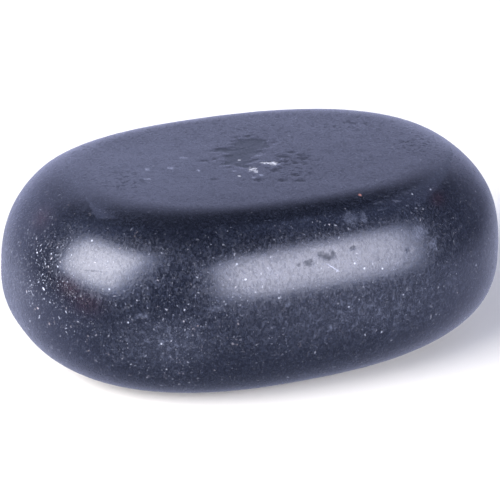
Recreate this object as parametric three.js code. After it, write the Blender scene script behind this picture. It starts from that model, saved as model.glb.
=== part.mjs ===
// A water-worn basalt pebble: one solid oval stone with full rounded flanks, a level worn face on
// top and a flat patch underneath, on which it rests.
//
// Millimetres, +Z up. The origin is on the resting plane, under the middle of the stone's outline.
// +X runs along the stone and +Y across it.

import * as THREE from "three";
import { mergeVertices } from "three/addons/utils/BufferGeometryUtils.js";

// Driving dimensions. Heights are measured from the girdle, the level at which the stone is widest.
const HALF_LENGTH = 40;
const HALF_WIDTH = 28.2;
const CROWN_HEIGHT = 21.7; // how high the rounded body would rise if its top were not worn away
const KEEL_DEPTH = 16.2; // how deep it would reach if its underside were not worn away
const TOP_FACE_HEIGHT = 16.1;
const REST_FACE_DEPTH = 14.4;

// Squareness of the round forms: 2 is an ellipse, and a larger value fills out the corners.
const PLAN_SQUARENESS = 2.43;
const CROWN_SQUARENESS = 2.6;
const KEEL_SQUARENESS = 2.8;

// The top face leans slightly, bulges slightly, and meets the flanks in a soft shoulder.
const TOP_SLOPE_ALONG = -0.01;
const TOP_SLOPE_ACROSS = -0.025;
const TOP_BULGE = 0.24;
const TOP_SHOULDER = 2.6;
const REST_SHOULDER = 1.2;

// Broad swellings and hollows left by uneven wear. Each one lies towards a direction from the
// stone's middle, fades over a spread, and raises the surface by a share of its distance from there.
const WEAR_MARKS = [
  { towards: [0.35, 0.9, -0.1], spread: 0.45, rise: -0.025 },
  { towards: [-0.75, 0.6, -0.2], spread: 0.4, rise: 0.018 },
  { towards: [0.9, 0.35, -0.3], spread: 0.35, rise: 0.012 },
  { towards: [0.2, 0.1, -1], spread: 0.5, rise: -0.01 },
];

// Each side of the cube that is blown up into the stone has this many squares along an edge.
const SQUARES_PER_EDGE = 28;

const wearMarks = WEAR_MARKS.map(({ towards, spread, rise }) => ({
  centre: new THREE.Vector3(...towards).normalize(),
  spread,
  rise,
}));

// The lower of two heights, with the crease between them rounded off where they come within `soft`.
function softLower(a, b, soft) {
  const overlap = Math.max(soft - Math.abs(a - b), 0) / soft;
  return Math.min(a, b) - (overlap * overlap * soft) / 4;
}

// How much the wear marks lift or lower the surface in a direction, as a factor near 1.
function wearFactor(direction) {
  return wearMarks.reduce(
    (sum, { centre, spread, rise }) =>
      sum + rise * Math.exp(-direction.distanceToSquared(centre) / spread ** 2),
    1,
  );
}

// Moves a unit direction to its place on the rounded body, before the flat faces are worn into it.
function onRoundedBody(direction) {
  const above = direction.z > 0;
  const squareness = above ? CROWN_SQUARENESS : KEEL_SQUARENESS;
  const plan =
    Math.abs(direction.x) ** PLAN_SQUARENESS + Math.abs(direction.y) ** PLAN_SQUARENESS;
  const fullness =
    plan ** (squareness / PLAN_SQUARENESS) + Math.abs(direction.z) ** squareness;
  const reach = fullness ** (-1 / squareness) * wearFactor(direction);
  const height = above ? CROWN_HEIGHT : KEEL_DEPTH;
  return new THREE.Vector3(HALF_LENGTH, HALF_WIDTH, height)
    .multiply(direction)
    .multiplyScalar(reach);
}

// Wears the top face and the resting patch into a point of the rounded body, and lifts the stone so
// that the resting patch lies at z = 0.
function wornFlat(point) {
  const fromMiddle = (point.x / HALF_LENGTH) ** 2 + (point.y / HALF_WIDTH) ** 2;
  const topFace =
    TOP_FACE_HEIGHT +
    TOP_SLOPE_ALONG * point.x +
    TOP_SLOPE_ACROSS * point.y -
    TOP_BULGE * fromMiddle;
  const underTop = softLower(point.z, topFace, TOP_SHOULDER);
  const aboveRest = -softLower(-underTop, REST_FACE_DEPTH, REST_SHOULDER);
  return new THREE.Vector3(point.x, point.y, aboveRest + REST_FACE_DEPTH);
}

// A cube grid whose lines are evenly spaced in angle, as one closed mesh with shared corners.
function blownUpCube() {
  const cube = new THREE.BoxGeometry(
    2,
    2,
    2,
    SQUARES_PER_EDGE,
    SQUARES_PER_EDGE,
    SQUARES_PER_EDGE,
  );
  cube.deleteAttribute("normal");
  cube.deleteAttribute("uv");
  return mergeVertices(cube);
}

function pebbleGeometry() {
  const geometry = blownUpCube();
  const position = geometry.getAttribute("position");
  const evenAngle = (coordinate) => Math.tan((coordinate * Math.PI) / 4);
  for (let i = 0; i < position.count; i++) {
    const direction = new THREE.Vector3(
      evenAngle(position.getX(i)),
      evenAngle(position.getY(i)),
      evenAngle(position.getZ(i)),
    ).normalize();
    position.setXYZ(i, ...wornFlat(onRoundedBody(direction)));
  }
  geometry.computeBoundingBox();
  const middle = geometry.boundingBox.getCenter(new THREE.Vector3());
  geometry.translate(-middle.x, -middle.y, 0);
  geometry.computeVertexNormals();
  return geometry;
}

const basalt = new THREE.MeshStandardMaterial({
  name: "polished basalt",
  color: 0x22242d,
  roughness: 0.32,
  metalness: 0,
});

const pebble = new THREE.Mesh(pebbleGeometry(), basalt);
pebble.name = "pebble";

const stone = new THREE.Group();
stone.add(pebble);

export default stone;
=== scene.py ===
# %% [markdown]
# # A polished basalt river pebble
#
# This lesson dresses one stone: a palm-sized pebble of fine-grained basalt that a river rounded and
# that was then polished. Its solid is already made, in metres, with +Z up and the origin on the
# plane on which it rests. Here it gets a finer skin, the marks of its wear and its material, and
# then a pale floor, soft studio light and a camera.

# %% Load the solid as a fixed frame
import functools
import math

import bpy
from mathutils import Euler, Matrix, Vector


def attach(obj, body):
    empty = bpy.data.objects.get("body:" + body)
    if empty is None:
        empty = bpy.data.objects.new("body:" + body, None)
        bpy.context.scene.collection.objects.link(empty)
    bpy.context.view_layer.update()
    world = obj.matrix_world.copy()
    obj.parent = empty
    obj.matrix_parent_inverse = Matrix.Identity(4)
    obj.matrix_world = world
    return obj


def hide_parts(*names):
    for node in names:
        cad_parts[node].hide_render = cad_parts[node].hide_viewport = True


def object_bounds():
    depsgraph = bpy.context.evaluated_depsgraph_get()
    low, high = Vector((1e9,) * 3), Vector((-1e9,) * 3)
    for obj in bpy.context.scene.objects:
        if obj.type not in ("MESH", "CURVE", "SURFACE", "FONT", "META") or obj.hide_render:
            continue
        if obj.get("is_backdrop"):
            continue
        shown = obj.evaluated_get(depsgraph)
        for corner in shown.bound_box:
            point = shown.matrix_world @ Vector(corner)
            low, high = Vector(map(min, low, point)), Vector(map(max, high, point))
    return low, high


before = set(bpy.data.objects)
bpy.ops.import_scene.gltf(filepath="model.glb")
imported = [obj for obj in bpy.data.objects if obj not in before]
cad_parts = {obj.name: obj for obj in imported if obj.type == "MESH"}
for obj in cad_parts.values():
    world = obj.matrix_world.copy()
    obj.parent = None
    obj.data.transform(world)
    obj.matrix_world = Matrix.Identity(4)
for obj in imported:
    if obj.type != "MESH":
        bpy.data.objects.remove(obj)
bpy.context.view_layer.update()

# %% [markdown]
# ## Writing nodes as formulas
#
# Both the stone's shape and its colours follow rules, and Blender's node trees can hold such rules.
# Forty nodes placed one by one are hard to read, so this small helper lets an output of a node be
# added, multiplied and compared like a number. Each sum then makes its own Math node. The same
# helper serves a geometry tree and a material, so a mark can be cut and coloured by one rule.

# %% Numbers that write their own nodes
def add_node(tree, kind, inputs, **settings):
    """Adds a node, sets its options, and feeds its inputs with wires or plain values."""
    node = tree.nodes.new(kind)
    for name, value in settings.items():
        setattr(node, name, value)
    for name, value in inputs.items():
        if isinstance(value, Wire):
            tree.links.new(value.socket, node.inputs[name])
        else:
            node.inputs[name].default_value = value
    return node


class Wire:
    """An output of a node that can be reckoned with like a number or a vector."""

    def __init__(self, socket):
        self.socket = socket
        self.tree = socket.id_data

    def reckon(self, operation, *values):
        inputs = dict(enumerate(values))
        node = add_node(self.tree, "ShaderNodeMath", inputs, operation=operation)
        return Wire(node.outputs[0])

    def __add__(self, other):
        return self.reckon("ADD", self, other)

    def __sub__(self, other):
        return self.reckon("SUBTRACT", self, other)

    def __rsub__(self, other):
        return self.reckon("SUBTRACT", other, self)

    def __mul__(self, other):
        return self.reckon("MULTIPLY", self, other)

    __radd__ = __add__
    __rmul__ = __mul__

    def __truediv__(self, other):
        return self.reckon("DIVIDE", self, other)

    def __rtruediv__(self, other):
        return self.reckon("DIVIDE", other, self)

    def __pow__(self, other):
        return self.reckon("POWER", self, other)

    def __lt__(self, other):
        return self.reckon("LESS_THAN", self, other)

    def __gt__(self, other):
        return self.reckon("GREATER_THAN", self, other)

    def __neg__(self):
        return self.reckon("MULTIPLY", self, -1)

    def __abs__(self):
        return self.reckon("ABSOLUTE", self)

    def lower_of(self, other):
        return self.reckon("MINIMUM", self, other)

    def higher_of(self, other):
        return self.reckon("MAXIMUM", self, other)

    def vector_sum(self, operation, *values, output="Vector"):
        inputs = dict(enumerate((self, *values)))
        node = add_node(self.tree, "ShaderNodeVectorMath", inputs, operation=operation)
        return Wire(node.outputs[output])

    def split(self):
        node = add_node(self.tree, "ShaderNodeSeparateXYZ", {0: self})
        return [Wire(socket) for socket in node.outputs]


print("outputs of nodes can now be reckoned with like numbers")

# %% [markdown]
# A few formulas come back in every tree: three numbers joined to a vector, a smooth rise from 0 to
# 1, a soft bell, and noise. Each one is a node or two with its sockets set, so each is a function.

# %% Formulas that come back
def join(x, y, z):
    """A vector wire from three numbers or wires, at least one of them a wire."""
    tree = next(part.tree for part in (x, y, z) if isinstance(part, Wire))
    node = add_node(tree, "ShaderNodeCombineXYZ", {0: x, 1: y, 2: z})
    return Wire(node.outputs[0])


def scaled(vector, factor):
    """A vector wire times a number or a number wire."""
    inputs = {0: vector, "Scale": factor}
    node = add_node(vector.tree, "ShaderNodeVectorMath", inputs, operation="SCALE")
    return Wire(node.outputs["Vector"])


def ramp(value, start, end):
    """0 where the value is at the start or before it, 1 at the end, with a smooth rise between."""
    inputs = {"Value": value, "From Min": start, "From Max": end}
    node = add_node(value.tree, "ShaderNodeMapRange", inputs, interpolation_type="SMOOTHSTEP")
    return Wire(node.outputs["Result"])


def bell(distance):
    """1 at no distance, fading away on all sides, to about a third at a distance of 1."""
    return distance.reckon("EXPONENT", -(distance * distance))


def noise(place, size, detail=2.0, roughness=0.5):
    """Soft random variation between about -1 and 1, with swells about `size` metres across."""
    inputs = {"Vector": place, "Scale": 1 / size, "Detail": detail, "Roughness": roughness}
    node = add_node(place.tree, "ShaderNodeTexNoise", inputs)
    return Wire(node.outputs[0]) * 2 - 1


print("formulas can now be written as nodes")

# %% [markdown]
# ## The stone's form
#
# A river wears a stone from all sides, so it ends as a fat oval. This one was worn again on a level
# face, which left a flat top with a soft shoulder. The form could be sculpted, but it follows a
# rule: a cube blown up into a squarish oval body, with two planes worn into it. Geometry Nodes can
# hold that rule, with the same named sizes as the solid, on a grid over four times as fine.

# %% The parts of the rule
MM = 0.001
FORM_SIZES = {
    "Half length": 40 * MM,
    "Half width": 28.2 * MM,
    "Crown height": 21.7 * MM,
    "Keel depth": 16.2 * MM,
    "Top face height": 16.1 * MM,
    "Rest face depth": 14.4 * MM,
    "Plan squareness": 2.43,
    "Crown squareness": 2.6,
    "Keel squareness": 2.8,
    "Top slope along": -0.01,
    "Top slope across": -0.025,
    "Top bulge": 0.24 * MM,
    "Top shoulder": 2.6 * MM,
    "Rest shoulder": 1.2 * MM,
}
WEAR_MARKS = [
    {"towards": (0.35, 0.9, -0.1), "spread": 0.45, "rise": -0.025},
    {"towards": (-0.75, 0.6, -0.2), "spread": 0.4, "rise": 0.018},
    {"towards": (0.9, 0.35, -0.3), "spread": 0.35, "rise": 0.012},
    {"towards": (0.2, 0.1, -1.0), "spread": 0.5, "rise": -0.01},
]
SQUARES_PER_EDGE = 120


def soft_lower(a, b, soft):
    """The lower of two heights, with the crease between them rounded off."""
    overlap = (soft - abs(a - b)).higher_of(0) / soft
    return a.lower_of(b) - overlap * overlap * soft * 0.25


def wear_factor(direction):
    """How much broad swellings and hollows lift or lower the surface, as a factor near 1."""
    factor = 1
    for mark in WEAR_MARKS:
        centre = Vector(mark["towards"]).normalized()
        distance = direction.vector_sum("DISTANCE", centre, output="Value")
        factor = factor + bell(distance / mark["spread"]) * mark["rise"]
    return factor


def rounded_body(direction, size):
    """The place of a unit direction on the oval body, before the flat faces are worn into it."""
    x, y, z = direction.split()
    above = z > 0
    keel_squareness = size["Keel squareness"]
    squareness = keel_squareness + above * (size["Crown squareness"] - keel_squareness)
    plan_squareness = size["Plan squareness"]
    plan = abs(x) ** plan_squareness + abs(y) ** plan_squareness
    fullness = plan ** (squareness / plan_squareness) + abs(z) ** squareness
    reach = fullness ** (-1 / squareness) * wear_factor(direction)
    height = size["Keel depth"] + above * (size["Crown height"] - size["Keel depth"])
    return [
        x * reach * size["Half length"],
        y * reach * size["Half width"],
        z * reach * height,
    ]


def worn_flat(x, y, z, size):
    """The same place after the top face and the resting patch are worn, with z from the floor."""
    along = x / size["Half length"]
    across = y / size["Half width"]
    bulge = size["Top bulge"] * (along * along + across * across)
    slope = size["Top slope along"] * x + size["Top slope across"] * y
    top_face = size["Top face height"] + slope - bulge
    under_top = soft_lower(z, top_face, size["Top shoulder"])
    above_rest = -soft_lower(-under_top, size["Rest face depth"], size["Rest shoulder"])
    return join(x, y, above_rest + size["Rest face depth"])


print(len(WEAR_MARKS), "wear marks,", 6 * SQUARES_PER_EDGE**2, "squares on the skin")

# %% [markdown]
# The tree starts from a cube grid whose lines are spaced evenly in angle, so that its squares stay
# about the same size all over the stone. After the rule has moved every corner, the stone's outline
# is centred on the origin, as the solid's is.

# %% The geometry tree of the form
def new_geometry_tree(name, sizes):
    """A geometry tree with a mesh going in and out and one named number for each size."""
    tree = bpy.data.node_groups.new(name, "GeometryNodeTree")
    for way in ("INPUT", "OUTPUT"):
        tree.interface.new_socket("Geometry", in_out=way, socket_type="NodeSocketGeometry")
    for size in sizes:
        tree.interface.new_socket(size, in_out="INPUT", socket_type="NodeSocketFloat")
    entry = tree.nodes.new("NodeGroupInput")
    return tree, {size: Wire(entry.outputs[size]) for size in ("Geometry", *sizes)}


def moved(mesh, **how):
    """The mesh with its corners set to a position, or shifted by an offset."""
    inputs = {"Geometry": mesh, **{name.capitalize(): wire for name, wire in how.items()}}
    return Wire(add_node(mesh.tree, "GeometryNodeSetPosition", inputs).outputs[0])


def corner_places(tree):
    return Wire(tree.nodes.new("GeometryNodeInputPosition").outputs[0])


form_tree, form_size = new_geometry_tree("Worn pebble form", FORM_SIZES)
corners = SQUARES_PER_EDGE + 1
cube_sizes = {"Size": (2, 2, 2), "Vertices X": corners, "Vertices Y": corners, "Vertices Z": corners}
cube = Wire(add_node(form_tree, "GeometryNodeMeshCube", cube_sizes).outputs["Mesh"])
evenly = [part.reckon("TANGENT", part * (math.pi / 4)) for part in corner_places(form_tree).split()]
direction = join(*evenly).vector_sum("NORMALIZE")
body = rounded_body(direction, form_size)
stone = moved(cube, position=worn_flat(*body, form_size))

bounds = add_node(form_tree, "GeometryNodeBoundBox", {"Geometry": stone})
corner_sum = Wire(bounds.outputs["Min"]).vector_sum("ADD", Wire(bounds.outputs["Max"]))
shift_x, shift_y, _ = scaled(corner_sum, -0.5).split()
stone = moved(stone, offset=join(shift_x, shift_y, 0))
smooth = add_node(form_tree, "GeometryNodeSetShadeSmooth", {"Geometry": stone})
add_node(form_tree, "NodeGroupOutput", {0: Wire(smooth.outputs[0])})
print(form_tree.name, "has", len(form_tree.nodes), "nodes")

# %% [markdown]
# ## Marks of wear
#
# A few marks can be told apart on the stone: a shallow flake that came off the top, crushed pale
# bruises beside it, dark dashes, and some pits on the long side. Each one is an egg laid on the
# surface, with a ragged edge. One list names where they lie, how large they are and how far they are
# turned, so the same egg can hollow the skin here and colour the stone further down.

# %% The list of marks
FLAKE = [
    {"at": (2.3, 6.4, 30.4), "half": (2.5, 2.8, 4), "turn": -22},
    {"at": (0.0, 3.8, 30.4), "half": (2.5, 2.8, 4), "turn": -22},
    {"at": (-2.0, 1.2, 30.4), "half": (2.3, 3.2, 4), "turn": -22},
    {"at": (-2.6, 5.5, 30.4), "half": (1.9, 0.8, 4), "turn": -22},
]
BRUISES = [
    {"at": (1.4, -2.3, 30.5), "half": (0.9, 0.35, 4), "turn": -22},
    {"at": (2.3, -2.8, 30.5), "half": (0.55, 0.7, 4), "turn": -22},
    {"at": (-1.7, -4.0, 30.6), "half": (0.6, 0.75, 4), "turn": -22},
    {"at": (-1.6, -5.1, 30.6), "half": (0.3, 0.5, 4), "turn": -22},
    {"at": (-4.8, -5.9, 30.7), "half": (0.22, 0.3, 4), "turn": 0},
    {"at": (-2.0, 0.8, 30.5), "half": (0.22, 0.25, 4), "turn": 0},
]
DASHES = [
    {"at": (7.2, -2.5, 30.5), "half": (1.0, 0.8, 4), "turn": -22},
    {"at": (7.0, -4.5, 30.5), "half": (0.45, 0.45, 4), "turn": -22},
    {"at": (6.8, 0.6, 30.4), "half": (0.5, 0.5, 4), "turn": -22},
    {"at": (4.8, -0.7, 30.5), "half": (1.0, 0.5, 4), "turn": -40},
    {"at": (1.2, -5.9, 30.6), "half": (0.6, 0.5, 4), "turn": -22},
    {"at": (-2.6, -8.7, 30.7), "half": (0.7, 0.5, 4), "turn": -22},
    {"at": (0.7, -10.1, 30.7), "half": (0.8, 0.5, 4), "turn": -22},
    {"at": (3.2, -11.3, 30.7), "half": (0.8, 0.5, 4), "turn": -22},
    {"at": (-5.6, 2.5, 30.5), "half": (0.45, 0.4, 4), "turn": -22},
    {"at": (-7.3, 2.3, 30.5), "half": (0.7, 0.3, 4), "turn": -22},
    {"at": (-9.0, -5.7, 30.7), "half": (0.5, 0.35, 4), "turn": -22},
    {"at": (7.6, -1.4, 30.5), "half": (0.5, 0.7, 4), "turn": -22},
    {"at": (5.6, -3.9, 30.5), "half": (0.5, 0.5, 4), "turn": -22},
    {"at": (3.4, -8.9, 30.6), "half": (0.6, 0.5, 4), "turn": -22},
]
PITS = [
    {"at": (0.4, -26.3, 24.9), "half": (0.5, 2, 0.42), "turn": 50},
    {"at": (1.2, -26.5, 24.5), "half": (0.9, 2, 0.42), "turn": 5},
    {"at": (2.2, -26.4, 24.8), "half": (0.4, 2, 0.5), "turn": -40},
    {"at": (-1.9, -26.7, 24.1), "half": (0.75, 2, 0.42), "turn": 5},
    {"at": (-3.6, -26.7, 24.0), "half": (0.3, 2, 0.2), "turn": 10},
    {"at": (5.6, -26.1, 25.1), "half": (0.42, 2, 0.22), "turn": -10},
    {"at": (15.2, -25.8, 22.9), "half": (0.16, 2, 0.25), "turn": 0},
]


def egg_distance(place, mark, axis):
    """How far a place is from a mark's middle, where 1 is on its edge."""
    centre = [value * MM for value in mark["at"]]
    half = [value * MM for value in mark["half"]]
    inputs = {"Vector": place, "Center": centre, "Angle": math.radians(-mark["turn"])}
    turn = add_node(place.tree, "ShaderNodeVectorRotate", inputs, rotation_type=f"{axis}_AXIS")
    apart = Wire(turn.outputs[0]).vector_sum("SUBTRACT", centre).vector_sum("DIVIDE", half)
    return apart.vector_sum("LENGTH", output="Value")


def marks(place, eggs, axis, ragged, grain, soft):
    """1 inside any of these eggs and 0 outside, with a ragged edge of a given grain in metres."""
    fringe = noise(place, grain, detail=4, roughness=0.75) * ragged
    nearest = functools.reduce(Wire.lower_of, (egg_distance(place, egg, axis) for egg in eggs))
    return ramp(nearest + fringe, 1 + soft, 1 - soft)


def flake_mark(place):
    return marks(place, FLAKE, "Z", ragged=2.0, grain=1.1 * MM, soft=0.2)


def bruise_mark(place):
    return marks(place, BRUISES, "Z", ragged=1.8, grain=0.5 * MM, soft=0.4)


def dash_mark(place):
    return marks(place, DASHES, "Z", ragged=2.6, grain=0.7 * MM, soft=0.6)


def pit_mark(place):
    return marks(place, PITS, "Y", ragged=1.6, grain=0.4 * MM, soft=0.6)


print(sum(len(eggs) for eggs in (FLAKE, BRUISES, DASHES, PITS)), "marks are placed one by one")

# %% [markdown]
# ## Wearing the skin
#
# The second tree works on the finished form. It lets the skin swell and sink by a few hundredths of
# a millimetre, which keeps the edges of reflections from looking drawn with a ruler. It hollows out
# the listed marks. It also scatters small pits: points are thrown over the stone, and each corner
# of the skin asks how far off the nearest point is and how wide the pit there should be. None of it
# touches the flat patch underneath, so the stone still rests on its solid's floor.

# %% The geometry tree of the wear
WEAR_SIZES = {
    "Swell depth": 0.06 * MM,
    "Swell size": 9 * MM,
    "Flake depth": 0.1 * MM,
    "Mark depth": 0.05 * MM,
    "Pit depth": 0.12 * MM,
    "Pits per square metre": 4500,
    "Smallest pit": 0.35 * MM,
    "Largest pit": 0.8 * MM,
    "Scattered pit depth": 0.03 * MM,
    "Unworn height": 0.5 * MM,
    "Fully worn height": 3 * MM,
}
PIT_SEED = 7


def sample(tree, points, value, index, kind):
    """A value that a numbered point carries."""
    inputs = {"Geometry": points, "Value": value, "Index": index}
    return Wire(add_node(tree, "GeometryNodeSampleIndex", inputs, data_type=kind).outputs[0])


def scattered_pits(mesh, place, size):
    """How deep the scattered pits are at a place, as a share of their full depth."""
    tree = mesh.tree
    throw = {"Mesh": mesh, "Density": size["Pits per square metre"], "Seed": PIT_SEED}
    points = Wire(add_node(tree, "GeometryNodeDistributePointsOnFaces", throw).outputs["Points"])
    lots = Wire(add_node(tree, "FunctionNodeRandomValue", {"Seed": PIT_SEED}).outputs[1])
    width = size["Smallest pit"] + lots * (size["Largest pit"] - size["Smallest pit"])
    nearest = {"Geometry": points, "Sample Position": place}
    index = Wire(add_node(tree, "GeometryNodeSampleNearest", nearest, domain="POINT").outputs[0])
    middle = sample(tree, points, place, index, "FLOAT_VECTOR")
    distance = place.vector_sum("DISTANCE", middle, output="Value")
    return ramp(distance / sample(tree, points, width, index, "FLOAT"), 1, 0)


wear_tree, wear_size = new_geometry_tree("Wear of the skin", WEAR_SIZES)
skin = wear_size["Geometry"]
place = corner_places(wear_tree)
off_the_floor = ramp(place.split()[2], wear_size["Unworn height"], wear_size["Fully worn height"])
pits = scattered_pits(skin, place, wear_size) * off_the_floor
depth = (
    noise(place, wear_size["Swell size"]) * wear_size["Swell depth"] * off_the_floor
    + flake_mark(place) * wear_size["Flake depth"]
    + dash_mark(place).higher_of(bruise_mark(place)) * wear_size["Mark depth"]
    + pit_mark(place) * wear_size["Pit depth"]
    + pits * wear_size["Scattered pit depth"]
)
outwards = Wire(wear_tree.nodes.new("GeometryNodeInputNormal").outputs[0])
skin = moved(skin, offset=scaled(outwards, -depth))
store = {"Geometry": skin, "Name": "scattered_pits", "Value": pits}
kept = add_node(wear_tree, "GeometryNodeStoreNamedAttribute", store, data_type="FLOAT", domain="POINT")
print(wear_tree.name, "has", len(wear_tree.nodes), "nodes")

# %% [markdown]
# ## The basalt
#
# Polished basalt is a nearly black, blue-grey ground of crystals too small to see, with scattered
# pale ones less than a millimetre long. A photo could be laid on as a picture, but a rule in Object
# coordinates has no seams and shows the same detail from all sides. The colour is painted in
# layers, from the ground up. These are the brushes for it.

# %% Brushes for the colour
MIX_AMOUNT, MIX_UNDER, MIX_OVER, MIX_RESULT = 0, 6, 7, 2
TOP_BEGINS = 28.8 * MM
TOP_IS_FULL = 30.2 * MM


def paint(under, colour, amount):
    """One colour laid over another, by an amount from 0 to 1."""
    inputs = {MIX_AMOUNT: amount, MIX_UNDER: under, MIX_OVER: colour}
    node = add_node(amount.tree, "ShaderNodeMix", inputs, data_type="RGBA")
    return Wire(node.outputs[MIX_RESULT])


def around(place, eggs):
    """How near a place is to any of these eggs: 1 in the middle, and about a third on the edge."""
    return functools.reduce(Wire.higher_of, (bell(egg_distance(place, egg, "Z")) for egg in eggs))


basalt = bpy.data.materials.new("Polished basalt")
basalt.use_nodes = True
basalt_tree = basalt.node_tree
basalt_tree.nodes.clear()
place = Wire(basalt_tree.nodes.new("ShaderNodeTexCoord").outputs["Object"])
along, across, height = place.split()
on_top = ramp(height, start=TOP_BEGINS, end=TOP_IS_FULL)
print("painting", basalt.name)

# %% [markdown]
# The ground is mottled at every scale, from clouds nearly a centimetre across down to single grains
# of a few tenths of a millimetre. A few noises at their own scales make this, and later layers use
# them again. The left end and a clean band on the left of the front shoulder stay darker.

# %% The fine ground
GROUND = (0.0013, 0.0018, 0.004, 1)
PALE_GROUND = (0.033, 0.04, 0.065, 1)
GRAIN_SHARE = 0.55
CLOUD_SHARE = 0.3
CLOUDS_IN_MOTTLE = 0.7
LEFT_END = [{"at": (-39.5, -10.0, 21.5), "half": (5.5, 11, 8), "turn": 0}]
LEFT_END_DARKNESS = 0.75
CLEAN_BAND = [{"at": (-18.0, -20.0, 30.0), "half": (16, 5, 3), "turn": 8}]
CLEAN_BAND_DARKNESS = 0.5

clouds = noise(place, 7 * MM, detail=4)
mottle = noise(place, 1.2 * MM, detail=3, roughness=0.7)
grain = ramp(noise(place, 0.38 * MM, detail=2, roughness=0.95), start=-0.3, end=0.55)
cloudy = ramp(clouds * CLOUDS_IN_MOTTLE + mottle, start=0.0, end=1.0)
left_end = around(place, LEFT_END)
clean_band = around(place, CLEAN_BAND)
pale = grain * grain * GRAIN_SHARE + cloudy * CLOUD_SHARE
pale = pale * (1 - left_end * LEFT_END_DARKNESS) * (1 - clean_band * CLEAN_BAND_DARKNESS)
colour = paint(GROUND, PALE_GROUND, pale)
print("the ground is in")

# %% [markdown]
# The crystals are thin laths that lie every way, so the polished surface cuts them to dots and
# short dashes. Thousands of laths would be slow to build. A Voronoi texture divides space into cells
# instead, and a share of the cells holds one lath each, with its lie and brightness drawn by lot.

# %% Laths cut by the surface
DIMMEST_LATH = 0.15


def laths(place, cell, half_length, half_width, share):
    """Lath-shaped crystals cut by the surface: 0 between them, and up to 1 on the brightest."""
    voronoi = add_node(place.tree, "ShaderNodeTexVoronoi", {"Vector": place, "Scale": 1 / cell})
    lots = Wire(voronoi.outputs["Color"])
    chance, bright, _ = lots.split()
    redrawn = add_node(place.tree, "ShaderNodeTexWhiteNoise", {"Vector": lots})
    lie = Wire(redrawn.outputs["Color"]).vector_sum("SUBTRACT", (0.5, 0.5, 0.5))
    apart = place.vector_sum("SUBTRACT", Wire(voronoi.outputs["Position"]))
    apart_squared = apart.vector_sum("DOT_PRODUCT", apart, output="Value")
    lengthwise = apart.vector_sum("DOT_PRODUCT", lie.vector_sum("NORMALIZE"), output="Value")
    sideways_squared = apart_squared - lengthwise * lengthwise
    reach = lengthwise * lengthwise / half_length**2 + sideways_squared / half_width**2
    brightness = bright * bright * (1 - DIMMEST_LATH) + DIMMEST_LATH
    return ramp(reach, start=1.4, end=0.4) * (chance < share) * brightness


print("a rule for laths is ready")

# %% [markdown]
# Three sizes of cell give three sizes of crystal. They stand in clusters, crowd at the left end and
# low on the left, where they are brighter too, and are few on the top and on the clean band.

# %% Scattered crystals
CRYSTALS = [
    {"cell": 0.34, "half_length": 0.17, "half_width": 0.07, "share": 1.0, "brightness": 0.08},
    {"cell": 0.6, "half_length": 0.28, "half_width": 0.1, "share": 0.7, "brightness": 0.15},
    {"cell": 1.2, "half_length": 0.4, "half_width": 0.16, "share": 0.4, "brightness": 0.22},
]
CRYSTAL = (0.76, 0.82, 0.98, 1)
WARM_CRYSTAL = (0.9, 0.66, 0.55, 1)
LOW_LEFT = [{"at": (-22.0, -25.0, 18.0), "half": (10, 8, 7), "turn": 0}]
USUAL_CROWDING = 0.34
LEFT_END_CROWDING = 0.8
LOW_LEFT_CROWDING = 0.3
CLOUD_CROWDING = 0.9
IN_CLUSTERS = 1.6
BETWEEN_CLUSTERS = 0.2
TOP_THINNING = 0.8
CLEAN_BAND_THINNING = 0.5
LEFT_END_SPARKLE = 2.8
LOW_LEFT_SPARKLE = 0.8

low_left = around(place, LOW_LEFT)
clusters = ramp(mottle, start=-0.3, end=0.35) * IN_CLUSTERS + BETWEEN_CLUSTERS
crowding = USUAL_CROWDING + left_end * LEFT_END_CROWDING + low_left * LOW_LEFT_CROWDING
crowding = crowding * (1 + clouds * CLOUD_CROWDING) * clusters
crowding = crowding * (1 - on_top * TOP_THINNING) * (1 - clean_band * CLEAN_BAND_THINNING)
crystal = functools.reduce(Wire.higher_of, (
    laths(
        place,
        size["cell"] * MM,
        size["half_length"] * MM,
        size["half_width"] * MM,
        crowding * size["share"],
    ) * size["brightness"]
    for size in CRYSTALS
))
crystal = crystal * (1 + left_end * LEFT_END_SPARKLE + low_left * LOW_LEFT_SPARKLE)
warmth = ramp(noise(place, 1.2 * MM), start=0.1, end=0.7)
colour = paint(colour, paint(CRYSTAL, WARM_CRYSTAL, warmth), crystal)
print(len(CRYSTALS), "sizes of crystal are in")

# %% [markdown]
# A faint rust, as from a little iron in the stone, tints the left end and one spot on the right of
# the front shoulder. It is a layer under the dust, and the grain of the ground breaks it up.

# %% Faint rust
RUST = [
    {"at": (-35.7, -14.6, 20.7), "half": (2.0, 2.6, 1.8), "turn": 0},
    {"at": (-34.0, -17.0, 19.0), "half": (3.0, 2.6, 1.8), "turn": 0},
    {"at": (-35.9, -1.7, 27.0), "half": (2.0, 2.4, 1.6), "turn": 0},
    {"at": (22.5, -20.4, 28.2), "half": (1.5, 2.0, 1.0), "turn": 0},
]
RUST_COLOUR = (0.018, 0.005, 0.007, 1)
RUST_IN_GRAINS = 0.6
RUST_BETWEEN_GRAINS = 0.1

rust = around(place, RUST) * (grain * RUST_IN_GRAINS + RUST_BETWEEN_GRAINS)
colour = paint(colour, RUST_COLOUR, rust)
print(len(RUST), "rusty places are in")

# %% [markdown]
# Pale blotches like dried dust lie low on the long side. Milky ovals are dotted over that side,
# faint wisps cross the right of its shoulder, and a thin milky veil covers the left of the top. All
# of them have one colour, so the strongest of them at each place is laid on.

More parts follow.
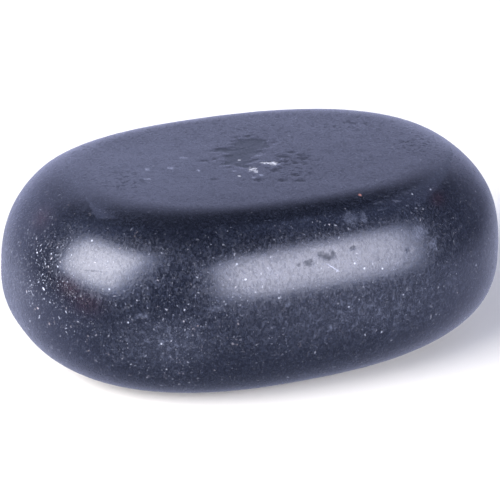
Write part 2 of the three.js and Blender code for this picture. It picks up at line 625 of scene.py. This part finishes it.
# %% Dust and haze
DUSTY = [
    {"at": (9.0, -27.0, 15.0), "half": (18, 8, 4.5), "turn": 0},
    {"at": (-24.0, -24.0, 13.5), "half": (7, 8, 4), "turn": 0},
]
OVALS = [
    {"at": (6.2, -23.7, 28.7), "half": (1.2, 1.3, 0.8), "turn": 0},
    {"at": (8.4, -23.8, 28.5), "half": (0.5, 1.2, 0.7), "turn": 0},
    {"at": (17.6, -24.4, 25.0), "half": (1.1, 2.0, 0.9), "turn": 0},
    {"at": (19.8, -24.8, 22.6), "half": (0.8, 2.0, 1.0), "turn": 0},
    {"at": (8.0, -27.8, 15.6), "half": (0.5, 2.0, 0.35), "turn": 0},
    {"at": (12.9, -27.3, 14.9), "half": (0.5, 2.0, 0.5), "turn": 0},
    {"at": (1.2, -28.1, 13.2), "half": (0.7, 2.0, 0.5), "turn": 50},
    {"at": (-5.8, -27.8, 18.2), "half": (0.5, 2.0, 0.4), "turn": 0},
    {"at": (-16.7, -26.4, 18.9), "half": (1.1, 2.0, 0.45), "turn": 0},
    {"at": (-27.1, -22.8, 17.9), "half": (0.9, 2.0, 0.35), "turn": 0},
    {"at": (-24.9, -24.0, 16.3), "half": (0.7, 2.0, 0.35), "turn": 20},
]
WISPY = [{"at": (14.0, -21.5, 29.5), "half": (6, 4, 2.5), "turn": 0}]
MILKY_TOP = [{"at": (-17.0, 3.0, 30.5), "half": (13, 14, 4), "turn": -10}]
HAZE_COLOUR = (0.058, 0.066, 0.094, 1)
DUST_IN_BLOTCHES = 0.5
DUST_BETWEEN = 0.15
OVAL_IN_BLOTCHES = 0.5
OVAL_IN_GRAINS = 0.4
OVAL_BETWEEN = 0.2
WISP_SQUEEZE = 0.2
WISP_SHARE = 0.6
MILK_IN_BLOTCHES = 0.15
MILK_BETWEEN = 0.25

blotches = ramp(noise(place, 0.9 * MM, detail=3, roughness=0.8), start=0.0, end=0.32)
dust = (blotches * DUST_IN_BLOTCHES + DUST_BETWEEN) * around(place, DUSTY)
oval = marks(place, OVALS, "Y", ragged=1.4, grain=0.8 * MM, soft=0.6)
ovals = oval * (blotches * OVAL_IN_BLOTCHES + grain * OVAL_IN_GRAINS + OVAL_BETWEEN)
combed = noise(join(along * WISP_SQUEEZE, across, height), 0.4 * MM, detail=2)
wisps = ramp(combed, start=0.12, end=0.5) * around(place, WISPY)
milk = around(place, MILKY_TOP) * on_top * (blotches * MILK_IN_BLOTCHES + MILK_BETWEEN)
haze = dust.higher_of(ovals).higher_of(wisps * WISP_SHARE).higher_of(milk)
colour = paint(colour, HAZE_COLOUR, haze)
print(len(OVALS), "milky ovals are in")

# %% [markdown]
# A few single grains outshine most crystals of the rule. They are placed one by one, like the marks
# of wear, because the eye finds them first.

# %% Bright grains
GRAINS = [
    (7.1, -27.2, 21.8), (5.6, -27.0, 22.8), (-13.0, -25.4, 25.2), (-37.7, -8.9, 22.6),
    (-36.8, -9.2, 24.2), (-31.8, -13.8, 27.4), (-31.1, -19.3, 21.6), (21.9, -19.1, 29.3),
    (18.2, -20.3, 29.6), (-29.1, -21.7, 16.8), (-24.7, -24.1, 13.5), (10.2, -27.1, 21.2),
    (4.3, -28.0, 16.2), (13.8, -27.1, 16.2), (10.1, -27.5, 10.7), (-32.9, -16.6, 24.0),
]
GRAIN_RADIUS = 0.14
GRAIN_COLOUR = (0.22, 0.24, 0.29, 1)

grain_eggs = [{"at": at, "half": (GRAIN_RADIUS,) * 3, "turn": 0} for at in GRAINS]
bright_grains = marks(place, grain_eggs, "Z", ragged=0.8, grain=0.2 * MM, soft=0.5)
colour = paint(colour, GRAIN_COLOUR, bright_grains)
print(len(GRAINS), "bright grains are in")

# %% [markdown]
# Now the marks take their colours. The flake shows a duller, greyer stone, the bruises are crushed
# nearly to white, and the dashes and pits are dark. A scratch, some pale spots and one reddish speck
# are only colour, so they weren't cut into the skin.

# %% Marks of wear in the colour
SCRATCHES = [
    {"at": (1.9, -27.1, 22.8), "half": (1.2, 2, 0.05), "turn": 37},
    {"at": (2.6, -27.3, 22.2), "half": (0.22, 2, 0.08), "turn": -35},
]
PALE_SPOTS = [
    {"at": (1.7, 1.5, 30.4), "half": (0.5, 0.4, 4), "turn": -22},
    {"at": (-1.5, -6.9, 30.7), "half": (0.4, 0.4, 4), "turn": -22},
    {"at": (-2.9, -7.4, 30.7), "half": (0.3, 0.3, 4), "turn": -22},
    {"at": (-4.7, -3.6, 30.6), "half": (0.35, 0.3, 4), "turn": -22},
    {"at": (-9.9, 4.9, 30.4), "half": (0.8, 0.35, 4), "turn": -22},
    {"at": (-13.4, 1.4, 30.6), "half": (0.5, 0.4, 4), "turn": -22},
    {"at": (-9.8, -1.2, 30.6), "half": (0.25, 0.3, 4), "turn": 0},
    {"at": (3.0, -3.4, 30.6), "half": (0.25, 0.3, 4), "turn": 0},
    {"at": (-17.0, 2.2, 30.6), "half": (0.35, 0.45, 4), "turn": 0},
    {"at": (-18.5, -1.6, 30.6), "half": (0.7, 0.25, 4), "turn": -22},
]
RED_SPECK = [{"at": (9.6, -19.7, 30.5), "half": (0.25, 0.3, 1), "turn": 0}]
FLAKE_COLOUR = (0.02, 0.024, 0.032, 1)
HOLLOW_COLOUR = (0.004, 0.005, 0.008, 1)
BRUISE_COLOUR = (0.5, 0.52, 0.58, 1)
SPOT_COLOUR = (0.22, 0.24, 0.32, 1)
RED = (0.32, 0.15, 0.13, 1)
FLAKE_COVER = 0.8
HOLLOW_COVER = 0.85
SMALL_PIT_SHARE = 0.6
SPOT_COVER = 0.7
SPECK_COVER = 0.7

flake = flake_mark(place)
bruise = bruise_mark(place)
pits_attribute = add_node(basalt_tree, "ShaderNodeAttribute", {}, attribute_name="scattered_pits")
small_pits = Wire(pits_attribute.outputs["Fac"]) * SMALL_PIT_SHARE
hollow = dash_mark(place).higher_of(pit_mark(place)).higher_of(small_pits)
scratch = marks(place, SCRATCHES, "Y", ragged=0.5, grain=0.3 * MM, soft=0.4)
pale_spot = marks(place, PALE_SPOTS, "Z", ragged=2.0, grain=0.5 * MM, soft=0.5)
red_speck = marks(place, RED_SPECK, "Z", ragged=0.8, grain=0.3 * MM, soft=0.4)
speckled = ramp(noise(place, 0.45 * MM, detail=3, roughness=0.7), start=-0.3, end=0.2)
colour = paint(colour, FLAKE_COLOUR, flake * FLAKE_COVER)
colour = paint(colour, HOLLOW_COLOUR, hollow * HOLLOW_COVER)
colour = paint(colour, BRUISE_COLOUR, bruise * speckled)
colour = paint(colour, SPOT_COLOUR, (pale_spot * speckled).higher_of(scratch) * SPOT_COVER)
colour = paint(colour, RED, red_speck * SPECK_COVER)
print(len(PALE_SPOTS), "pale spots, a scratch and a speck are in")

# %% [markdown]
# A polished stone is seen mostly by what it mirrors, so its roughness carries as much of the look as
# its colour. Where the polish is rubbed away the mirror image blurs: on the flake and the marks,
# faintly all over the top and more in its smudges, and on two hairlines at the left end, which are
# nothing but gloss.

# %% Where the polish is worn
SMUDGES = [
    {"at": (4.0, -4.6, 30.5), "half": (5.2, 7.5, 4), "turn": -22},
    {"at": (20.5, 9.5, 30.0), "half": (4.5, 3.0, 4), "turn": -22},
    {"at": (27.0, -3.0, 30.0), "half": (3.0, 5.0, 4), "turn": -22},
    {"at": (-22.0, -1.5, 30.6), "half": (4.0, 5.0, 4), "turn": -22},
]
HAIRLINES = [
    {"at": (-32.6, -16.7, 23.8), "half": (1.2, 3, 0.09), "turn": -8},
    {"at": (-28.4, -20.4, 23.7), "half": (0.5, 3, 0.08), "turn": 14},
]
FLAKE_WEAR = 0.75
HOLLOW_WEAR = 0.9
SMUDGE_WEAR = 1.3
HAIRLINE_WEAR = 0.5
TOP_WEAR = 0.3
SPECKLED_WEAR = 0.4

rubbing = ramp(noise(place, 1.1 * MM, detail=3, roughness=0.8), start=-0.02, end=0.3)
smudge = around(place, SMUDGES) * on_top
hairline = marks(place, HAIRLINES, "Y", ragged=0.8, grain=0.5 * MM, soft=0.6)
worn = (flake * FLAKE_WEAR).higher_of(hollow * HOLLOW_WEAR).higher_of(smudge * rubbing * SMUDGE_WEAR)
worn = worn * (speckled * SPECKLED_WEAR + (1 - SPECKLED_WEAR))
worn = worn.higher_of(bruise).higher_of(hairline * HAIRLINE_WEAR)
worn = worn.higher_of(rubbing * on_top * TOP_WEAR)
print(len(SMUDGES), "smudges and", len(HAIRLINES), "hairlines are in")

# %% [markdown]
# Each grain takes the polish a little differently, in spots that are drawn out up and down by the
# rub of the polishing. To draw a noise out along one axis, the place it reads is squeezed on that
# axis; stretching the place packs it closer instead. A relief of a few thousandths of a millimetre
# unsettles the reflections. It is too fine to cut into the skin, so it is a bump. The reflections
# are slightly blue, so the specular tint is too.

# %% Polish and fine relief
POLISHED = 0.19
DULLNESS_SHARE = 0.15
BLOTCH_SHARE = 0.04
CLOUDY_SHARE = 0.03
WORN_SHARE = 0.32
SPECULAR_TINT = (0.76, 0.81, 1.0, 1)
BASALT_IOR = 1.6
FAR_OFF = 1.0
DULL_SPOT_SQUEEZE = 0.5
STREAK_STRETCH = 3
STREAK_DEPTH = 0.004 * MM
TOOTH_DEPTH = 0.003 * MM

elsewhere = join(along + FAR_OFF, across, height * DULL_SPOT_SQUEEZE)
dullness = ramp(noise(elsewhere, 0.4 * MM, detail=2, roughness=0.85), start=-0.25, end=0.35)
polish = POLISHED + dullness * DULLNESS_SHARE + worn * WORN_SHARE
polish = polish + blotches * BLOTCH_SHARE + clouds * CLOUDY_SHARE
streaks = noise(join(along, across, height * STREAK_STRETCH), 1.5 * MM, detail=2) * STREAK_DEPTH
relief = streaks + noise(place, 0.25 * MM) * TOOTH_DEPTH
bump_inputs = {"Height": relief, "Distance": 1.0}
bump = Wire(add_node(basalt_tree, "ShaderNodeBump", bump_inputs).outputs["Normal"])
surface = {
    "Base Color": colour,
    "Roughness": polish,
    "Normal": bump,
    "IOR": BASALT_IOR,
    "Specular Tint": SPECULAR_TINT,
}
shader = add_node(basalt_tree, "ShaderNodeBsdfPrincipled", surface)
add_node(basalt_tree, "ShaderNodeOutputMaterial", {"Surface": Wire(shader.outputs[0])})
print(basalt.name, "has", len(basalt_tree.nodes), "nodes")

# %% [markdown]
# ## Making the stone
#
# The wear tree ends by giving the skin its material. Both trees then run as modifiers on an empty
# object, and the result is kept as a plain mesh, which rides on the stone's one body and stands for
# its solid.

# %% The finished piece
real = add_node(wear_tree, "GeometryNodeRealizeInstances", {"Geometry": Wire(kept.outputs[0])})
dress = {"Geometry": Wire(real.outputs[0]), "Material": basalt}
dressed = add_node(wear_tree, "GeometryNodeSetMaterial", dress)
add_node(wear_tree, "NodeGroupOutput", {0: Wire(dressed.outputs[0])})


def run_tree(blank, tree, sizes):
    """Puts a geometry tree on an object, with its sizes set by their sockets' identifiers."""
    modifier = blank.modifiers.new(tree.name, "NODES")
    modifier.node_group = tree
    for socket in tree.interface.items_tree:
        if socket.in_out == "INPUT" and socket.name in sizes:
            modifier[socket.identifier] = float(sizes[socket.name])


blank = bpy.data.objects.new("blank", bpy.data.meshes.new("blank"))
bpy.context.scene.collection.objects.link(blank)
run_tree(blank, form_tree, FORM_SIZES)
run_tree(blank, wear_tree, WEAR_SIZES)
ready = blank.evaluated_get(bpy.context.evaluated_depsgraph_get())
pebble = bpy.data.objects.new("polished_pebble", bpy.data.meshes.new_from_object(ready))
bpy.data.objects.remove(blank)
bpy.context.scene.collection.objects.link(pebble)

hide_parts("pebble")
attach(pebble, "root")
print(pebble.name, "has", len(pebble.data.polygons), "squares and", pebble.data.materials[:])

# %% [markdown]
# ## The camera
#
# The photograph looks down on the long side at about 24 degrees, with one end a little nearer, from
# five or six stone lengths away. The long lens and the distance were found by laying the solid's
# outline over the stone's outline, so they aren't turned by eye.

# %% Placing the camera
AZIMUTH = -22.2
ELEVATION = 24.0
CAMERA_DISTANCE = 444 * MM
LENS_MM = 199.5
AIM_HEIGHT = 14.4 * MM
AIM_LEFT = 0.49 * MM
AIM_UP = 0.4 * MM


def direction_to(azimuth, elevation):
    """The unit direction from the stone to something seen that far round it and that high."""
    turn = math.radians(azimuth)
    lift = math.radians(elevation)
    return Vector((
        math.sin(turn) * math.cos(lift),
        -math.cos(turn) * math.cos(lift),
        math.sin(lift),
    ))


backwards = direction_to(AZIMUTH, ELEVATION)
facing = backwards.to_track_quat("Z", "Y")
aim = Vector((0, 0, AIM_HEIGHT)) + facing @ Vector((-AIM_LEFT, AIM_UP, 0))
camera = bpy.data.objects.new("camera", bpy.data.cameras.new("camera"))
camera.data.lens = LENS_MM
camera.location = aim + backwards * CAMERA_DISTANCE
camera.rotation_mode = "QUATERNION"
camera.rotation_quaternion = facing
bpy.context.scene.collection.objects.link(camera)
bpy.context.scene.camera = camera
print("camera at", [round(v, 3) for v in camera.location])

# %% [markdown]
# ## Floor, light and surroundings
#
# A polished stone shows its surroundings more than its own colour. It stands on a plain pale floor,
# in a plain pale room. The floor is kept out of the stone's reflections, because the lower half of
# the painted room below stands for it there and can be lit more evenly.

# %% A pale floor
FLOOR_COLOUR = (0.8, 0.8, 0.78, 1)
FLOOR_HALF = 3.0
FLOOR_ROUGHNESS = 0.9
FLOOR_SHEEN = 0.1


def rectangle(half_width, half_height):
    """The corners of a level rectangle around the origin."""
    return [(x * half_width, y * half_height, 0) for x, y in ((-1, -1), (1, -1), (1, 1), (-1, 1))]


floor_mesh = bpy.data.meshes.new("floor")
floor_mesh.from_pydata(rectangle(FLOOR_HALF, FLOOR_HALF), [], [(0, 1, 2, 3)])
floor = bpy.data.objects.new("floor", floor_mesh)
floor_material = bpy.data.materials.new("Pale floor")
floor_material.use_nodes = True
floor_shader = floor_material.node_tree.nodes["Principled BSDF"]
floor_shader.inputs["Base Color"].default_value = FLOOR_COLOUR
floor_shader.inputs["Roughness"].default_value = FLOOR_ROUGHNESS
floor_shader.inputs["Specular IOR Level"].default_value = FLOOR_SHEEN
floor_mesh.materials.append(floor_material)
bpy.context.scene.collection.objects.link(floor)
floor.visible_glossy = False
floor.visible_shadow = False
floor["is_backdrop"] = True
print("floor of", 2 * FLOOR_HALF, "m a side")

# %% [markdown]
# Some things in the studio are there only to be mirrored: the fronts of the lamps, and small cards
# that shade the top. An emissive sheet does this. It is hidden from every ray but a glossy one, and
# it isn't sampled as a lamp, so it neither lights the matt floor nor shows in the picture itself.

# %% Sheets that only reflections show
def only_mirrored(name, corners, glow_at):
    """Four-cornered sheets that only reflections show, with a rule for their glow.

    The rule takes a place and gives the glow's strength, its tint and how clear the sheet is.
    """
    mesh = bpy.data.meshes.new(name)
    mesh.from_pydata(corners, [], [range(first, first + 4) for first in range(0, len(corners), 4)])
    material = bpy.data.materials.new(name)
    material.use_nodes = True
    tree = material.node_tree
    tree.nodes.clear()
    place = Wire(tree.nodes.new("ShaderNodeTexCoord").outputs["Object"])
    strength, tint, clearness = glow_at(place)
    emission = add_node(tree, "ShaderNodeEmission", {"Color": tint, "Strength": strength})
    clear = tree.nodes.new("ShaderNodeBsdfTransparent")
    parts = {0: clearness, 1: Wire(emission.outputs[0]), 2: Wire(clear.outputs[0])}
    sheet_shader = add_node(tree, "ShaderNodeMixShader", parts)
    add_node(tree, "ShaderNodeOutputMaterial", {"Surface": Wire(sheet_shader.outputs[0])})
    material.cycles.emission_sampling = "NONE"
    mesh.materials.append(material)
    sheet = bpy.data.objects.new(name, mesh)
    for sense in ("camera", "diffuse", "transmission", "volume_scatter", "shadow"):
        setattr(sheet, f"visible_{sense}", False)
    bpy.context.scene.collection.objects.link(sheet)
    return sheet


print("sheets that only reflections show are ready")

# %% [markdown]
# Each lamp is a cloth-fronted box: bright around its heart, falling off towards the sides, and with
# a dim, bluer border that lays a soft glow around the highlight. One rule gives its glow, for the
# light that it sheds and for the front that the polish mirrors.

# %% The glow of a lamp's cloth
LAMP_BORDER = 0.12
BORDER_COLOUR = (0.8, 0.9, 1.25, 1)
HEART_WIDTH = 0.42
HEART_SHARE = 0.4
CLEAR_OF_BORDER = 0.9
CLOTH_RIM = 0.92
CLOTH_BODY = 0.64


def cloth_glow(sideways, upwards, lamp):
    """The brightness, as a share of the brightest, and the tint of a place on a lamp's front."""
    off_middle = [abs(part * 2 - 1) for part in (sideways, upwards)]
    inside_sides, inside_ends = [ramp(part, start=CLOTH_RIM, end=CLOTH_BODY) for part in off_middle]
    heart = (*lamp["heart"], 0)
    off_heart = join(sideways, upwards, 0).vector_sum("DISTANCE", heart, output="Value")
    evenness = bell(off_heart / HEART_WIDTH) * HEART_SHARE + (1 - HEART_SHARE)
    glow = inside_sides * inside_ends * evenness * (1 - LAMP_BORDER) + LAMP_BORDER
    off_border = ramp(glow, start=LAMP_BORDER, end=CLEAR_OF_BORDER)
    return glow, paint(BORDER_COLOUR, lamp["colour"], off_border)


print("a lamp's border has", LAMP_BORDER, "of the glow of its heart")

# %% [markdown]
# An area light sheds the lamp's light on what is matt, and a sheet of the same size and place is
# what the polish mirrors. They are two things so that a card can stand before the lamp in a
# reflection and yet cast no shadow, as the cards that shade the top do.

# %% The two halves of a lamp
def matt_light(name, lamp, width, height):
    """The area light of a lamp, hidden from reflections."""
    light = bpy.data.lights.new(name, "AREA")
    light.shape = "RECTANGLE"
    light.size = width
    light.size_y = height
    light.energy = lamp["radiance"] * math.pi * width * height
    light.use_nodes = True
    on_light = Wire(light.node_tree.nodes.new("ShaderNodeNewGeometry").outputs["Parametric"])
    sideways, upwards, _ = on_light.split()
    glow, tint = cloth_glow(sideways, upwards, lamp)
    emission = light.node_tree.nodes["Emission"]
    light.node_tree.links.new(glow.socket, emission.inputs["Strength"])
    light.node_tree.links.new(tint.socket, emission.inputs["Color"])
    holder = bpy.data.objects.new(name, light)
    holder.visible_glossy = False
    bpy.context.scene.collection.objects.link(holder)
    return holder


def cloth_front(name, lamp, width, height):
    """The front of a lamp, as the polish mirrors it."""
    def front_glow(place):
        x, y, _ = place.split()
        glow, tint = cloth_glow(x / width + 0.5, y / height + 0.5, lamp)
        return glow * lamp["radiance"], tint, 0.0

    return only_mirrored(f"cloth front of the {name}", rectangle(width / 2, height / 2), front_glow)


print("a lamp is a light and a front")

# %% [markdown]
# Two such lamps stand before the stone, left and right of the camera, and give its two broad
# highlights. Their sizes are angles seen from the stone, because a highlight's size depends on that
# angle and not on how far off the lamp stands.

# %% Two soft lamps
LAMP_DISTANCE = 0.8
LAMPS = {
    "left lamp": {
        "azimuth": AZIMUTH - 58, "elevation": 28, "half_width": 32.5, "half_height": 24.5,
        "turn": 15, "roll": -3, "heart": (0.62, 0.55), "radiance": 14.8, "colour": (1.05, 1.0, 0.96, 1),
    },
    "right lamp": {
        "azimuth": AZIMUTH + 44.8, "elevation": 12.7, "half_width": 30, "half_height": 22.8,
        "turn": 0, "roll": -1, "heart": (0.3, 0.5), "radiance": 11.5, "colour": (1.05, 1.0, 1.0, 1),
    },
}

for name, lamp in LAMPS.items():
    width = 2 * LAMP_DISTANCE * math.tan(math.radians(lamp["half_width"]))
    height = 2 * LAMP_DISTANCE * math.tan(math.radians(lamp["half_height"]))
    holder = matt_light(name, lamp, width, height)
    front = cloth_front(name, lamp, width, height)
    towards_lamp = direction_to(lamp["azimuth"], lamp["elevation"])
    aside = Euler((0, math.radians(lamp["turn"]), math.radians(lamp["roll"])))
    for half in (holder, front):
        half.location = Vector((0, 0, AIM_HEIGHT)) + towards_lamp * LAMP_DISTANCE
        half.rotation_mode = "QUATERNION"
        half.rotation_quaternion = towards_lamp.to_track_quat("Z", "Y") @ aside.to_quaternion()
    front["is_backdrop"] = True
    print(name, "is", round(width, 2), "by", round(height, 2), "m")

# %% [markdown]
# Looked at from behind, the level top would mirror both lamps at a grazing angle and burn out. A
# photographer shades such a place with small cards, set close above the rim of the top on the
# lamps' side. At the sides they run roughly along the line of sight, so from the front they are
# nearly edge-on. Their inner faces are pale, like the room, and their outer faces are dark, like
# the ceiling, but the left one is pale on both. They thin out to nothing at their tops and their
# back ends, so that they leave no hard line in a reflection.

# %% Cards that shade the top
CARD_BOTTOM = 31.4
CARD_TOP = 55.0
CARD_THINS_ABOVE = 42.0
BACK_END_THINS = (8.0, 22.0)
LEFT_CARD_BEGINS = (-11.0, -3.0)
INNER_FACE = (0.5, 0.55, 0.82, 1)
OUTER_FACE = (0.08, 0.09, 0.13, 1)
LEFT_CARD = (0.8, 0.86, 1.28, 1)
CARD_LINE = [(-25.0, 24.0), (-30.5, -10.0), (-15.0, -21.0), (23.0, -22.5), (50.0, 20.0)]


def two_faces(place):
    """A card's glow: one tint on the face turned to the stone's middle, and one on the other."""
    inner = Wire(place.tree.nodes.new("ShaderNodeNewGeometry").outputs["Backfacing"])
    along, across, height = place.split()
    past_corner = ramp(across, start=LEFT_CARD_BEGINS[0] * MM, end=LEFT_CARD_BEGINS[1] * MM)
    on_the_left = past_corner * (along < 0)
    faces = paint(paint(OUTER_FACE, INNER_FACE, inner), LEFT_CARD, on_the_left)
    thin_end = ramp(across, start=BACK_END_THINS[0] * MM, end=BACK_END_THINS[1] * MM)
    thin_top = ramp(height, start=CARD_THINS_ABOVE * MM, end=CARD_TOP * MM)
    return 1.0, faces, thin_end.higher_of(thin_top)


card_corners = []
for start, end in zip(CARD_LINE, CARD_LINE[1:]):
    for (x, y), z in ((start, CARD_BOTTOM), (end, CARD_BOTTOM), (end, CARD_TOP), (start, CARD_TOP)):
        card_corners.append((x * MM, y * MM, z * MM))
cards = only_mirrored("shading cards", card_corners, two_faces)
cards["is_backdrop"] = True
print(len(CARD_LINE) - 1, "cards shade the top")

# %% [markdown]
# The room is bright low down behind the stone and dark overhead: the flat top mirrors the bright
# part, and the dark band under its edge mirrors the ceiling. High on either side the lamps spill a
# little light. Below the horizon the room stands for the lit floor, brightest on the left and
# glowing on the right, which edges the stone with pale rims. The camera itself sees a plain pale
# surrounding on all sides.

# %% The room
ROOM_BRIGHT = (0.98, 1.04, 1.55, 1)
ROOM_DIM = (0.17, 0.19, 0.29, 1)
FLOOR_LIT = (0.93, 0.98, 1.38, 1)
FLOOR_GLOW = (0.72, 0.76, 1.07, 1)
FLOOR_DIM = (0.34, 0.37, 0.53, 1)
CEILING = (0.08, 0.09, 0.13, 1)
SPILL = (0.42, 0.48, 0.72, 1)
ROOM_SEEN = (0.88, 0.88, 0.89, 1)
BRIGHTEST = {"azimuth": AZIMUTH + 193, "elevation": 0}
LIT_SIDE = {"azimuth": AZIMUTH - 112, "elevation": -20}
GLOWING_SIDE = {"azimuth": AZIMUTH + 124, "elevation": -22}
SPILLS = [
    {"azimuth": AZIMUTH - 99, "elevation": 54},
    {"azimuth": AZIMUTH + 88, "elevation": 56},
]
WALL_FALLOFF = 4.5

room = bpy.data.worlds.new("studio")
room.use_nodes = True
bpy.context.scene.world = room
room_tree = room.node_tree
look = Wire(room_tree.nodes.new("ShaderNodeTexCoord").outputs["Generated"])
rise = look.split()[2]


def nearness(azimuth, elevation):
    """1 for looks in this direction, 0 at a right angle to it, -1 opposite to it."""
    return look.vector_sum("DOT_PRODUCT", direction_to(azimuth, elevation), output="Value")


facing_bright = nearness(**BRIGHTEST) * 0.5 + 0.5
walls = paint(ROOM_DIM, ROOM_BRIGHT, facing_bright**WALL_FALLOFF)
lower_half = paint(FLOOR_DIM, FLOOR_GLOW, ramp(nearness(**GLOWING_SIDE), start=0.62, end=1.0))
lower_half = paint(lower_half, FLOOR_LIT, ramp(nearness(**LIT_SIDE), start=0.35, end=0.98))
reflected = paint(walls, CEILING, ramp(rise, start=0.26, end=0.78))
for spill in SPILLS:
    reflected = paint(reflected, SPILL, ramp(nearness(**spill), start=0.88, end=1.0))
reflected = paint(reflected, lower_half, ramp(-rise, start=0.08, end=0.35))
seen = Wire(room_tree.nodes.new("ShaderNodeLightPath").outputs["Is Camera Ray"])
backdrop = room_tree.nodes["Background"]
backdrop.inputs["Strength"].default_value = 1.0
room_tree.links.new(paint(reflected, ROOM_SEEN, seen).socket, backdrop.inputs["Color"])
bpy.context.scene.view_settings.view_transform = "Standard"
print("the room is bright low down and dark overhead")

# %% [markdown]
# ## The dressed size
#
# The stone's dressed size is printed at the end.

# %% Sizes and the end
dressed_size = [list(corner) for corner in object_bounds()]
lowest, highest = [[round(v, 5) for v in corner] for corner in dressed_size]
print("dressed from", lowest, "to", highest)
